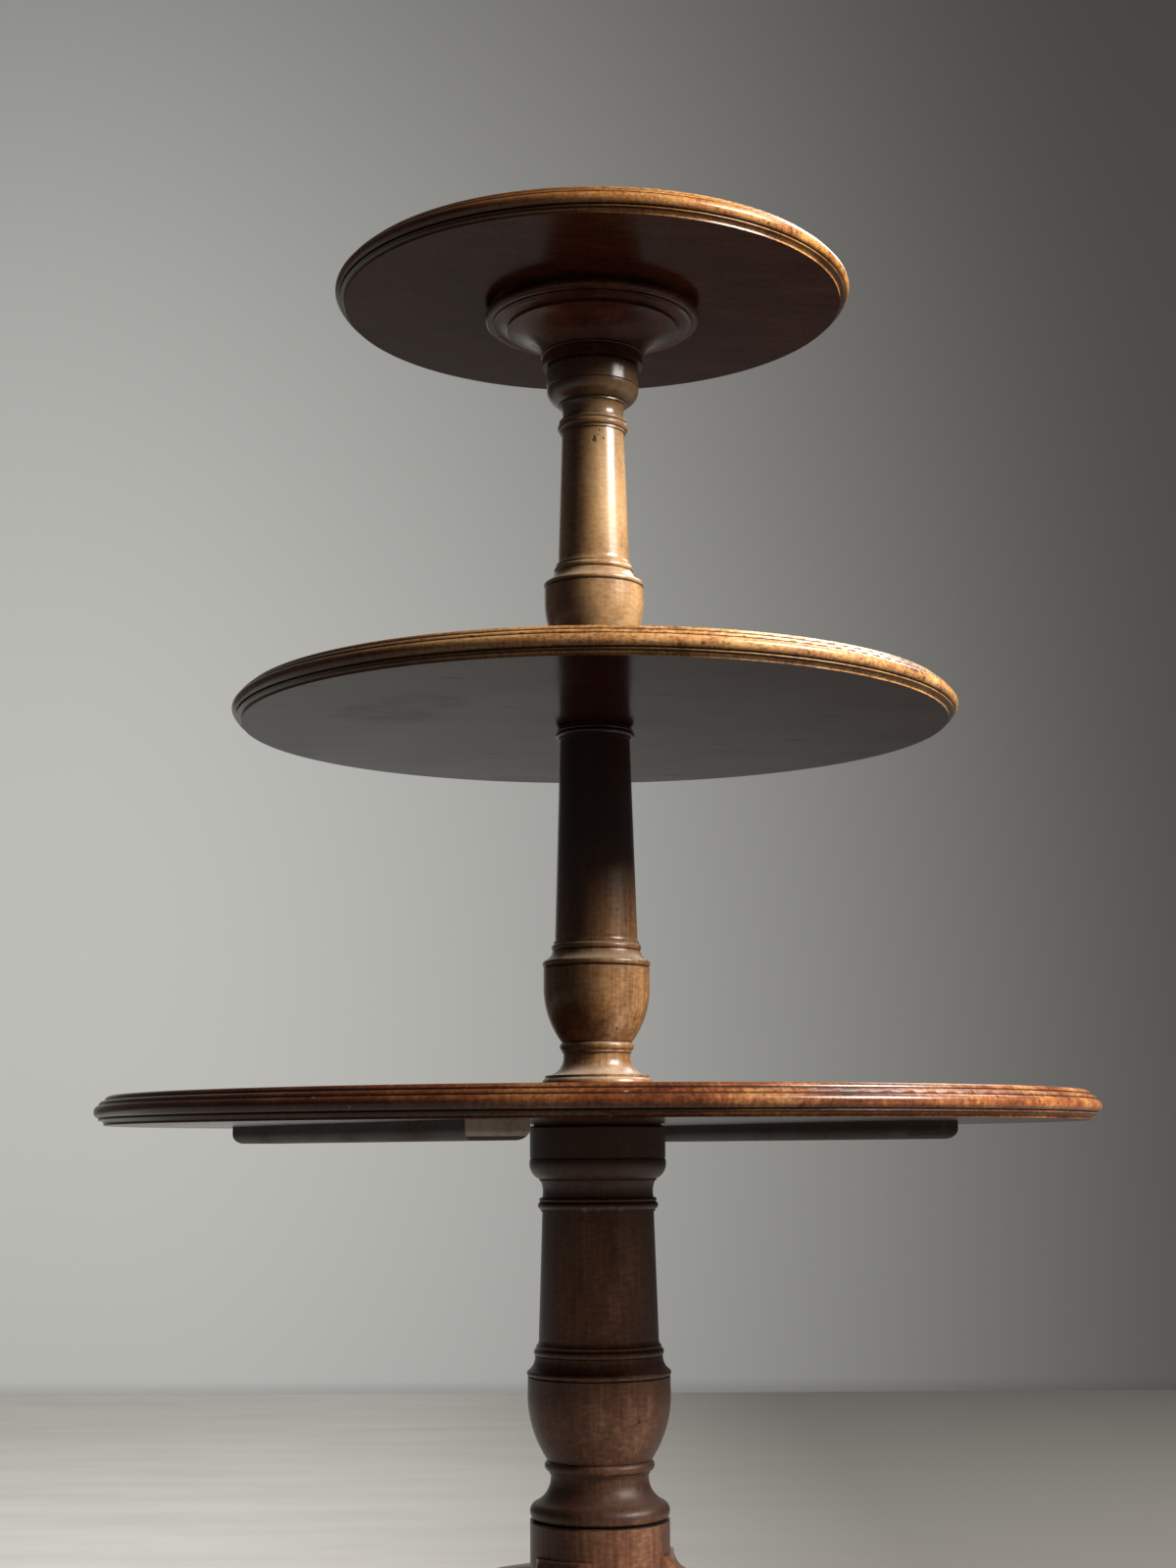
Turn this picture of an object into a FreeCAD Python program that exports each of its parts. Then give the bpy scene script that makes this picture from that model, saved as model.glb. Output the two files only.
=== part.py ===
import FreeCAD, Part
import math
import os

from FreeCAD import Vector

# Three-tier dumb waiter: round trays that turn on a column of three turned sections,
# carried by a tripod of sawn legs. Millimetres, +Z up, the floor at Z = 0, the column on the Z axis.

# Trays
BOTTOM_TRAY_R = 305.0
MIDDLE_TRAY_R = 228.0
TOP_TRAY_R = 167.0

# Moulded rim of every tray, from the underside up; each tray is as thick as its rim
RIM_FOOT_IN = 6.0
RIM_FILLET_H = 1.3
RIM_COVE_H = 1.5
RIM_BEAD_IN = 2.7
RIM_BEAD_H = 1.2
RIM_QUIRK_IN = 4.0
RIM_QUIRK_H = 0.5
RIM_TORUS_H = 7.0
RIM_REED_H = 2.9
RIM_REED_IN = 3.0
TRAY_T = RIM_FILLET_H + RIM_COVE_H + RIM_BEAD_H + RIM_QUIRK_H + RIM_TORUS_H + 2 * RIM_REED_H

# Fits
WASHER_T = 1.2
WASHER_IN = 1.0
RUN_GAP = 0.3
GLUE_GAP = 0.1
PIN_CHAMFER = 1.5
SOCKET_DEPTH = 45.0
BOSS_SOCKET_DEPTH = 29.0

# Fine turned details that all sections of the column share
LINE_D = 0.6
LINE_H = 1.0
FILLET_STEP = 0.9
FILLET_H = 1.5
ABACUS_EDGE = 1.4

# Arcs of the turned work: rise over chord, full above zero and hollow below it
BEAD_FULLNESS = 0.3
QUARTER_ROUND = 0.2
VASE_FULLNESS = 0.085
OVOLO_FULLNESS = 0.17
SHOULDER_HOLLOW = -0.12
SCOTIA_HOLLOW = -0.15
NECKING_HOLLOW = -0.08
SPREAD_HOLLOW = -0.08
FLARE_HOLLOW = -0.16

# Share of an astragal's height that its main bead takes; a thin bead above it has the rest
ASTRAGAL_SHARE = 0.64

# Pillar, the lowest section of the column, from the leg tops up
PILLAR_DRUM_R = 42.1
PILLAR_COLLAR_H = 17.8
PILLAR_TORUS_R = 42.2
PILLAR_TORUS_H = 10.2
PILLAR_SCOTIA_H = 14.5
PILLAR_NECK_R = 29.6
PILLAR_NECK_H = 2.4
PILLAR_BEAD_R = 33.3
PILLAR_BEAD_H = 6.0
PILLAR_VASE_R = 43.4
PILLAR_VASE_H = 42.6
PILLAR_BAND_H = 6.0
PILLAR_RIM_R = 43.9
PILLAR_RIM_H = 3.4
PILLAR_SHOULDER_R = 38.9
PILLAR_SHOULDER_H = 8.2
PILLAR_RING_R = 39.6
PILLAR_RING_H = 5.0
PILLAR_FLARE_H = 4.4
PILLAR_SHAFT_FOOT_R = 36.6
PILLAR_SHAFT_TOP_R = 34.3
PILLAR_SHAFT_H = 75.5
PILLAR_ASTRAGAL_R = 37.0
PILLAR_ASTRAGAL_H = 6.8
PILLAR_NECKING_R = 34.3
PILLAR_NECKING_H = 10.2
PILLAR_OVOLO_H = 11.6
PILLAR_ABACUS_R = 41.8
PILLAR_ABACUS_H = 19.2
PILLAR_PIN_R = 13.0

# Middle section of the column, from the bottom tray up
MIDDLE_FOOT_R = 33.6
MIDDLE_FOOT_H = 3.0
MIDDLE_TORUS_R = 34.6
MIDDLE_TORUS_H = 7.4
MIDDLE_SCOTIA_H = 11.8
MIDDLE_NECK_R = 20.9
MIDDLE_NECK_H = 2.3
MIDDLE_BEAD_R = 23.2
MIDDLE_BEAD_H = 4.8
MIDDLE_VASE_R = 33.1
MIDDLE_VASE_H = 35.6
MIDDLE_BAND_H = 10.0
MIDDLE_RIM_R = 33.7
MIDDLE_RIM_H = 4.2
MIDDLE_SHOULDER_R = 27.4
MIDDLE_SHOULDER_H = 5.8
MIDDLE_RING_R = 28.1
MIDDLE_RING_H = 4.4
MIDDLE_FLARE_H = 3.0
MIDDLE_SHAFT_FOOT_R = 25.8
MIDDLE_SHAFT_TOP_R = 22.1
MIDDLE_SHAFT_H = 124.9
MIDDLE_ASTRAGAL_R = 25.1
MIDDLE_ASTRAGAL_H = 5.2
MIDDLE_PIN_R = 11.5

# Upper section of the column, from the middle tray up
UPPER_FOOT_R = 32.0
UPPER_FOOT_H = 2.8
UPPER_TORUS_R = 33.0
UPPER_TORUS_H = 7.0
UPPER_SCOTIA_H = 11.2
UPPER_NECK_R = 19.9
UPPER_NECK_H = 2.2
UPPER_BEAD_R = 22.0
UPPER_BEAD_H = 4.6
UPPER_VASE_R = 31.7
UPPER_VASE_H = 35.0
UPPER_BAND_H = 6.6
UPPER_RIM_R = 32.2
UPPER_RIM_H = 3.0
UPPER_SHOULDER_R = 25.2
UPPER_SHOULDER_H = 6.3
UPPER_RING_R = 25.6
UPPER_RING_H = 4.0
UPPER_FLARE_H = 4.0
UPPER_SHAFT_FOOT_R = 22.7
UPPER_SHAFT_TOP_R = 20.1
UPPER_SHAFT_H = 83.5
UPPER_ASTRAGAL_R = 22.9
UPPER_ASTRAGAL_H = 7.0
UPPER_NECKING_R = 20.0
UPPER_NECKING_H = 9.8
UPPER_OVOLO_H = 10.0
UPPER_ABACUS_R = 29.8
UPPER_ABACUS_H = 12.8
UPPER_PIN_R = 10.5

# Flared boss under the top tray, from its collar up
BOSS_COLLAR_R = 32.6
BOSS_COLLAR_H = 5.9
BOSS_RING_R = 33.4
BOSS_RING_H = 1.8
BOSS_FLARE_R = 54.5
BOSS_FLARE_H = 16.0
BOSS_STEP_H = 2.5
BOSS_COVE_R = 64.0
BOSS_COVE_H = 1.5
BOSS_FILLET_H = 0.8
BOSS_TORUS_R = 70.0
BOSS_TORUS_H = 6.4
BOSS_EDGE_R = 66.5
BOSS_EDGE_H = 3.3
BOSS_SPIGOT_R = 22.0
BOSS_SPIGOT_H = 8.0

# Legs; the shares are points on an edge, as parts of the leg's reach and height
LEG_ANGLES = {"leg_right": -4.0, "leg_back": 116.0, "leg_front": 236.0}
LEG_TOP_H = 217.0
LEG_JOINT_H = 85.0
LEG_LIP = 1.6
LEG_COVE_R = 12.5
LEG_FALL_RATIO = 0.2
LEG_ROOT_W = 40.0
LEG_TOE_W = 26.0
LEG_UPPER_SHARES = ((0.218, 0.908), (0.495, 0.842), (0.695, 0.739),
                    (0.836, 0.577), (0.932, 0.375), (0.99, 0.2))
LEG_LOWER_SHARES = ((0.445, 0.598), (0.627, 0.532), (0.755, 0.405), (0.845, 0.252), (0.905, 0.117))
LEG_UPPER_ROUND = 8.0
LEG_LOWER_ROUND = 4.0
FOOT_OUT = 262.0
FOOT_R = 27.0
FOOT_H = 16.0
FOOT_REST_R = 21.0
FOOT_TOP_R = 15.0
FOOT_EDGE_H = 8.0

# Dovetail that holds each leg in the pillar
TAIL_ROOT_W = 17.0
TAIL_TIP_W = 23.0
TAIL_L = 21.0
TAIL_SHOULDER_H = 12.0

# Iron plate across the foot of the pillar and the roots of the legs
PLATE_T = 3.0
PLATE_HUB_R = 36.0
PLATE_ARM_W = 22.0
PLATE_ARM_OUT = 68.0
PLATE_HUB_SCREW_OUT = 12.0
PLATE_BED_MARGIN = 8.0

# Battens under the bottom tray
BATTEN_BACK = 189.0
BATTEN_LEFT_L = 378.0
BATTEN_RIGHT_L = 326.0
BATTEN_W = 37.0
BATTEN_T = 10.6
BATTEN_OUT = 154.0
BATTEN_ANGLE = 27.0
BATTEN_ROUND = 6.0
BATTEN_SCREW_END = 30.0

# Countersunk wood screws
SCREW_SHANK_R = 2.2
SCREW_HEAD_R = 4.4
SCREW_POINT_L = 4.0
SCREW_GAP = 0.1
SCREW_SLOT_W = 1.0
SCREW_SLOT_D = 1.0
SCREW_SINK = 0.2
PLATE_SCREW_L = 28.0
BATTEN_SCREW_L = 20.0

ORIGIN = Vector(0, 0, 0)
UP = Vector(0, 0, 1)
FULL_TURN = 360.0
TINY = 1e-6


class Outline:
    """Half outline of a turned piece, drawn upward from its foot through radius and height."""

    def __init__(self, r, z):
        self.r = r
        self.z = z
        self.foot = Vector(0, 0, z)
        self.edges = [Part.makeLine(self.foot, self.point())]

    def point(self):
        return Vector(self.r, 0, self.z)

    def line(self, r, z):
        start = self.point()
        self.r = r
        self.z = z
        if (self.point() - start).Length > TINY:
            self.edges.append(Part.makeLine(start, self.point()))

    def out(self, r):
        """A level step to another radius."""
        self.line(r, self.z)

    def up(self, height):
        """An upright face."""
        self.line(self.r, self.z + height)

    def curve(self, r, height, fullness):
        """An arc whose rise is a share of its chord."""
        start = self.point()
        self.r = r
        self.z += height
        end = self.point()
        rise = Vector(height, 0, start.x - r) * fullness
        middle = (start + end) * 0.5 + rise
        self.edges.append(Part.Arc(start, middle, end).toShape())

    def bead(self, peak_r, height):
        """A round moulding that stands out to peak_r."""
        base_r = peak_r - BEAD_FULLNESS * height
        self.out(base_r)
        self.curve(base_r, height, BEAD_FULLNESS)

    def fillet(self):
        """A narrow upright band, one small step outside the face below it."""
        self.out(self.r + FILLET_STEP)
        self.up(FILLET_H)

    def score(self):
        """A fine line cut round an upright face."""
        face_r = self.r
        self.line(face_r - LINE_D, self.z + LINE_H / 2)
        self.line(face_r, self.z + LINE_H / 2)

    def pin(self, r, length):
        """A plain pin with a chamfered end, turned on the end of the piece."""
        self.out(r)
        self.up(length - PIN_CHAMFER)
        self.line(r - PIN_CHAMFER, self.z + PIN_CHAMFER)

    def turned(self):
        top = Vector(0, 0, self.z)
        ends = [Part.makeLine(self.point(), top), Part.makeLine(top, self.foot)]
        return Part.Face(Part.Wire(self.edges + ends)).revolve(ORIGIN, UP, FULL_TURN)


def cylinder(r, bottom, top):
    return Part.makeCylinder(r, top - bottom, Vector(0, 0, bottom))


def spun(shape, angle):
    """A copy of the shape, turned about the column."""
    copy = shape.copy()
    copy.rotate(ORIGIN, UP, angle)
    return copy


def polar(distance, angle, z):
    turn = math.radians(angle)
    return Vector(distance * math.cos(turn), distance * math.sin(turn), z)


# Turned column


def foot(outline, torus_r, torus_h, scotia_h, neck_r):
    """Torus on a tray and the hollow above it."""
    outline.bead(torus_r, torus_h)
    outline.up(FILLET_H)
    outline.out(outline.r - FILLET_STEP)
    outline.curve(neck_r, scotia_h, -QUARTER_ROUND)


def vase(outline, neck_h, bead_r, bead_h, vase_r, vase_h, band_h, rim_r, rim_h):
    """Neck, bead and swelling vase with a bead round its rim."""
    outline.up(neck_h)
    outline.fillet()
    outline.bead(bead_r, bead_h)
    outline.curve(vase_r, vase_h, VASE_FULLNESS)
    outline.up(band_h)
    outline.score()
    outline.bead(rim_r, rim_h)


def shaft(outline, shoulder_r, shoulder_h, ring_r, ring_h, flare_h, foot_r, top_r, height):
    """Hollow shoulder, ring and the tapered shaft that grows out of it."""
    outline.curve(shoulder_r, shoulder_h, SHOULDER_HOLLOW)
    outline.bead(ring_r, ring_h)
    outline.up(FILLET_H)
    outline.out(outline.r - LINE_D)
    outline.curve(foot_r, flare_h, SPREAD_HOLLOW)
    outline.line(top_r, outline.z + height)


def astragal(outline, peak_r, height):
    """Fillet, bead and a thinner bead set in above it."""
    outline.fillet()
    outline.bead(peak_r, ASTRAGAL_SHARE * height)
    outline.bead(peak_r - FILLET_STEP, (1 - ASTRAGAL_SHARE) * height)


def capital(outline, astragal_r, astragal_h, necking_r, necking_h, ovolo_h, abacus_r, abacus_h):
    """Astragal, necking, ovolo and a round abacus."""
    astragal(outline, astragal_r, astragal_h)
    outline.out(necking_r)
    outline.curve(necking_r + FILLET_STEP, necking_h, NECKING_HOLLOW)
    outline.fillet()
    outline.out(outline.r + FILLET_STEP)
    outline.curve(abacus_r, ovolo_h, OVOLO_FULLNESS)
    outline.score()
    outline.up(abacus_h - ABACUS_EDGE)
    outline.curve(abacus_r - ABACUS_EDGE, ABACUS_EDGE, QUARTER_ROUND)


def pillar_outline(bottom):
    outline = Outline(PILLAR_DRUM_R, bottom)
    outline.up(LEG_JOINT_H + PILLAR_COLLAR_H)
    outline.score()
    outline.bead(PILLAR_TORUS_R, PILLAR_TORUS_H)
    outline.curve(PILLAR_NECK_R, PILLAR_SCOTIA_H, SCOTIA_HOLLOW)
    vase(outline, PILLAR_NECK_H, PILLAR_BEAD_R, PILLAR_BEAD_H, PILLAR_VASE_R, PILLAR_VASE_H,
         PILLAR_BAND_H, PILLAR_RIM_R, PILLAR_RIM_H)
    shaft(outline, PILLAR_SHOULDER_R, PILLAR_SHOULDER_H, PILLAR_RING_R, PILLAR_RING_H,
          PILLAR_FLARE_H, PILLAR_SHAFT_FOOT_R, PILLAR_SHAFT_TOP_R, PILLAR_SHAFT_H)
    capital(outline, PILLAR_ASTRAGAL_R, PILLAR_ASTRAGAL_H, PILLAR_NECKING_R, PILLAR_NECKING_H,
            PILLAR_OVOLO_H, PILLAR_ABACUS_R, PILLAR_ABACUS_H)
    return outline


def middle_outline(bottom):
    outline = Outline(MIDDLE_FOOT_R, bottom)
    outline.up(MIDDLE_FOOT_H)
    foot(outline, MIDDLE_TORUS_R, MIDDLE_TORUS_H, MIDDLE_SCOTIA_H, MIDDLE_NECK_R)
    vase(outline, MIDDLE_NECK_H, MIDDLE_BEAD_R, MIDDLE_BEAD_H, MIDDLE_VASE_R, MIDDLE_VASE_H,
         MIDDLE_BAND_H, MIDDLE_RIM_R, MIDDLE_RIM_H)
    shaft(outline, MIDDLE_SHOULDER_R, MIDDLE_SHOULDER_H, MIDDLE_RING_R, MIDDLE_RING_H,
          MIDDLE_FLARE_H, MIDDLE_SHAFT_FOOT_R, MIDDLE_SHAFT_TOP_R, MIDDLE_SHAFT_H)
    astragal(outline, MIDDLE_ASTRAGAL_R, MIDDLE_ASTRAGAL_H)
    return outline


def upper_outline(bottom):
    outline = Outline(UPPER_FOOT_R, bottom)
    outline.up(UPPER_FOOT_H)
    foot(outline, UPPER_TORUS_R, UPPER_TORUS_H, UPPER_SCOTIA_H, UPPER_NECK_R)
    vase(outline, UPPER_NECK_H, UPPER_BEAD_R, UPPER_BEAD_H, UPPER_VASE_R, UPPER_VASE_H,
         UPPER_BAND_H, UPPER_RIM_R, UPPER_RIM_H)
    shaft(outline, UPPER_SHOULDER_R, UPPER_SHOULDER_H, UPPER_RING_R, UPPER_RING_H,
          UPPER_FLARE_H, UPPER_SHAFT_FOOT_R, UPPER_SHAFT_TOP_R, UPPER_SHAFT_H)
    capital(outline, UPPER_ASTRAGAL_R, UPPER_ASTRAGAL_H, UPPER_NECKING_R, UPPER_NECKING_H,
            UPPER_OVOLO_H, UPPER_ABACUS_R, UPPER_ABACUS_H)
    return outline


def pinned_section(outline, pin_r, pin_l, socket_r):
    """A column section with a pin on its top and, when it has one, a socket in its foot."""
    outline.pin(pin_r, pin_l)
    section = outline.turned()
    if socket_r:
        foot_z = outline.foot.z
        section = section.cut(cylinder(socket_r, foot_z, foot_z + SOCKET_DEPTH))
    return section


def washer(seat_r, seat_z, pin_r):
    """Leather ring that a tray turns on."""
    disc = cylinder(seat_r - WASHER_IN, seat_z, seat_z + WASHER_T)
    return disc.cut(cylinder(pin_r + RUN_GAP, seat_z, seat_z + WASHER_T))


# Trays


def tray(radius, bottom):
    """Round board with a moulded rim: fillet, cove, bead, torus and two reeds."""
    outline = Outline(radius - RIM_FOOT_IN, bottom)
    outline.up(RIM_FILLET_H)
    outline.curve(radius - RIM_QUIRK_IN, RIM_COVE_H, -QUARTER_ROUND)
    outline.bead(radius - RIM_BEAD_IN, RIM_BEAD_H)
    outline.out(radius - RIM_QUIRK_IN)
    outline.up(RIM_QUIRK_H)
    outline.bead(radius, RIM_TORUS_H)
    for _ in range(2):
        outline.out(outline.r - LINE_D)
        outline.curve(outline.r - RIM_REED_IN, RIM_REED_H, QUARTER_ROUND)
    return outline.turned()


def bored_tray(radius, bottom, pin_r):
    return tray(radius, bottom).cut(cylinder(pin_r + RUN_GAP, bottom, bottom + TRAY_T))


def top_tray(bottom):
    """Top tray, with a shallow recess for the boss instead of a bore."""
    recess = cylinder(BOSS_SPIGOT_R + GLUE_GAP, bottom, bottom + BOSS_SPIGOT_H + GLUE_GAP)
    return tray(TOP_TRAY_R, bottom).cut(recess)


def boss_outline(bottom):
    outline = Outline(BOSS_COLLAR_R, bottom)
    outline.up(BOSS_COLLAR_H)
    outline.score()
    outline.bead(BOSS_RING_R, BOSS_RING_H)
    outline.curve(BOSS_FLARE_R, BOSS_FLARE_H, FLARE_HOLLOW)
    outline.fillet()
    outline.up(BOSS_STEP_H - FILLET_H)
    outline.curve(BOSS_COVE_R, BOSS_COVE_H, SHOULDER_HOLLOW)
    outline.out(BOSS_COVE_R + FILLET_STEP)
    outline.up(BOSS_FILLET_H)
    outline.bead(BOSS_TORUS_R, BOSS_TORUS_H)
    outline.out(BOSS_EDGE_R)
    outline.up(BOSS_EDGE_H)
    return outline


def boss(outline):
    """Boss with a glued spigot above and the running socket below."""
    outline.out(BOSS_SPIGOT_R)
    outline.up(BOSS_SPIGOT_H)
    foot_z = outline.foot.z
    return outline.turned().cut(cylinder(UPPER_PIN_R + RUN_GAP, foot_z, foot_z + BOSS_SOCKET_DEPTH))


def batten(side, length, tray_bottom):
    """Bar across the grain of the bottom tray, its lower edges rounded over."""
    corner = Vector(side * BATTEN_OUT - BATTEN_W / 2, BATTEN_BACK - length, tray_bottom - BATTEN_T)
    bar = Part.makeBox(BATTEN_W, length, BATTEN_T, corner)
    rim = [edge for edge in bar.Edges if edge.BoundBox.ZMax < corner.z + TINY]
    return spun(bar.makeFillet(BATTEN_ROUND, rim), BATTEN_ANGLE)


# Legs


def leg_points(shares):
    reach = FOOT_OUT - PILLAR_DRUM_R
    return [Vector(PILLAR_DRUM_R + out * reach, 0, up * LEG_TOP_H) for out, up in shares]


def leg_side(root_x, bottom):
    """Side view of a leg: a hollow at the pillar, a high knee, a slim ankle and a toe in the pad."""
    lip = Vector(PILLAR_DRUM_R + LEG_LIP, 0, LEG_TOP_H)
    centre = lip + Vector(LEG_COVE_R, 0, 0)
    turn = math.atan2(1, LEG_FALL_RATIO)
    half = centre - Vector(math.cos(turn / 2), 0, math.sin(turn / 2)) * LEG_COVE_R
    thigh = centre - Vector(math.cos(turn), 0, math.sin(turn)) * LEG_COVE_R
    toe = Vector(FOOT_OUT + FOOT_TOP_R, 0, FOOT_EDGE_H)
    heel = Vector(FOOT_OUT - FOOT_TOP_R, 0, FOOT_EDGE_H)
    bed = Vector(PLATE_ARM_OUT + PLATE_ARM_W / 2 + PLATE_BED_MARGIN, 0, bottom)
    upper = Part.BSplineCurve()
    upper.interpolate([thigh] + leg_points(LEG_UPPER_SHARES) + [toe],
                      InitialTangent=Vector(1, 0, -LEG_FALL_RATIO), FinalTangent=Vector(1, 0, -1))
    lower = Part.BSplineCurve()
    lower.interpolate([bed] + leg_points(LEG_LOWER_SHARES) + [heel],
                      InitialTangent=Vector(1, 0, 0), FinalTangent=Vector(LEG_FALL_RATIO, 0, -1))
    root_top = Vector(root_x, 0, LEG_TOP_H)
    root_low = Vector(root_x, 0, bottom)
    edges = [Part.makeLine(root_top, lip), Part.Arc(lip, half, thigh).toShape(), upper.toShape(),
             Part.makeLine(toe, heel), lower.toShape(), Part.makeLine(bed, root_low),
             Part.makeLine(root_low, root_top)]
    return Part.Face(Part.Wire(Part.__sortEdges__(edges)))


def leg_plan(root_x):
    """Plan view of a leg: as thick as its plank at the root, thinner at the toe."""
    toe_x = FOOT_OUT + FOOT_R
    corners = [Vector(root_x, -LEG_ROOT_W / 2, 0), Vector(toe_x, -LEG_TOE_W / 2, 0),
               Vector(toe_x, LEG_TOE_W / 2, 0), Vector(root_x, LEG_ROOT_W / 2, 0)]
    return Part.Face(Part.makePolygon(corners + corners[:1]))


def pad_foot():
    outline = Outline(FOOT_REST_R, 0)
    outline.curve(FOOT_R, FOOT_EDGE_H, QUARTER_ROUND)
    outline.curve(FOOT_TOP_R, FOOT_H - FOOT_EDGE_H, QUARTER_ROUND)
    pad = outline.turned()
    pad.translate(Vector(FOOT_OUT, 0, 0))
    return pad


def dovetail(bottom, gap):
    """Tail on a leg's root, or with a gap the slot for it in the pillar."""
    inner = PILLAR_DRUM_R - TAIL_L - gap
    outer = PILLAR_DRUM_R + LEG_LIP
    tip = TAIL_TIP_W / 2 + gap
    root = TAIL_ROOT_W / 2 + gap
    half = [(inner, tip), (PILLAR_DRUM_R, root), (outer, root)]
    corners = [Vector(x, -y, bottom) for x, y in half] + [Vector(x, y, bottom) for x, y in reversed(half)]
    height = LEG_JOINT_H - TAIL_SHOULDER_H + gap
    return Part.Face(Part.makePolygon(corners + corners[:1])).extrude(UP * height)


def round_long_edges(blank, radius, low, high):
    """The blank with its long edges rounded, where their upper ends lie between two heights."""
    edges = [edge for edge in blank.Edges
             if edge.Length > FOOT_OUT / 2 and low < max(end.Z for end in edge.Vertexes) < high]
    return blank.makeFillet(radius, edges)


def leg(bottom):
    """One leg along +X: a sawn plank, thinned in plan, rounded over, scribed to the drum and dovetailed."""
    root_x = PILLAR_DRUM_R / 2
    plank = leg_side(root_x, bottom).extrude(Vector(0, LEG_ROOT_W, 0))
    plank.translate(Vector(0, -LEG_ROOT_W / 2, 0))
    blank = plank.common(leg_plan(root_x).extrude(UP * LEG_TOP_H)).Solids[0]
    blank = round_long_edges(blank, LEG_UPPER_ROUND, bottom + TINY, LEG_TOP_H)
    blank = round_long_edges(blank, LEG_LOWER_ROUND, 0, bottom + TINY)
    drum = cylinder(PILLAR_DRUM_R + GLUE_GAP, 0, LEG_TOP_H)
    return blank.fuse(pad_foot()).cut(drum).fuse(dovetail(bottom, 0)).removeSplitter()


# Iron plate and screws


def plate(top):
    """Three-armed iron plate with round arm ends."""
    low = top - PLATE_T
    shape = cylinder(PLATE_HUB_R, low, top)
    arm = Part.makeBox(PLATE_ARM_OUT, PLATE_ARM_W, PLATE_T, Vector(0, -PLATE_ARM_W / 2, low))
    end = Part.makeCylinder(PLATE_ARM_W / 2, PLATE_T, Vector(PLATE_ARM_OUT, 0, low))
    arm = arm.fuse(end)
    for angle in LEG_ANGLES.values():
        shape = shape.fuse(spun(arm, angle))
    return shape.removeSplitter()


def screw_blank(length, gap):
    """Countersunk screw without its slot, head down, or with a gap the hole for it."""
    head_r = SCREW_HEAD_R + gap
    shank_r = SCREW_SHANK_R + gap
    outline = Outline(head_r, -gap)
    outline.line(shank_r, head_r - shank_r)
    outline.line(shank_r, length - SCREW_POINT_L)
    outline.line(shank_r / 2, length + gap)
    return outline.turned()


def screw(length, place):
    slot = Part.makeBox(2 * SCREW_HEAD_R, SCREW_SLOT_W, SCREW_SLOT_D,
                        Vector(-SCREW_HEAD_R, -SCREW_SLOT_W / 2, 0))
    shape = screw_blank(length, 0).cut(slot)
    shape.translate(place)
    return shape


def drill(shape, length, places):
    """The shape with a hole for each screw, open below for its head."""
    for place in places:
        hole = screw_blank(length, SCREW_GAP)
        hole.translate(place)
        well = Part.makeCylinder(SCREW_HEAD_R + SCREW_GAP, SCREW_SINK, place - UP * SCREW_SINK)
        shape = shape.cut(hole).cut(well)
    return shape


def plate_screw_places(plate_bottom):
    z = plate_bottom + SCREW_SINK
    arms = [polar(PLATE_ARM_OUT, angle, z) for angle in LEG_ANGLES.values()]
    hub = [polar(-PLATE_HUB_SCREW_OUT, angle, z) for angle in LEG_ANGLES.values()]
    return arms + hub


def batten_screw_places(side, length, tray_bottom):
    z = tray_bottom - BATTEN_T + SCREW_SINK
    middle = BATTEN_BACK - length / 2
    reach = length / 2 - BATTEN_SCREW_END
    row = [Vector(side * BATTEN_OUT, middle + step * reach, z) for step in (-1, 0, 1)]
    turn = FreeCAD.Rotation(UP, BATTEN_ANGLE)
    return [turn.multVec(place) for place in row]


# Assembly


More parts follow.
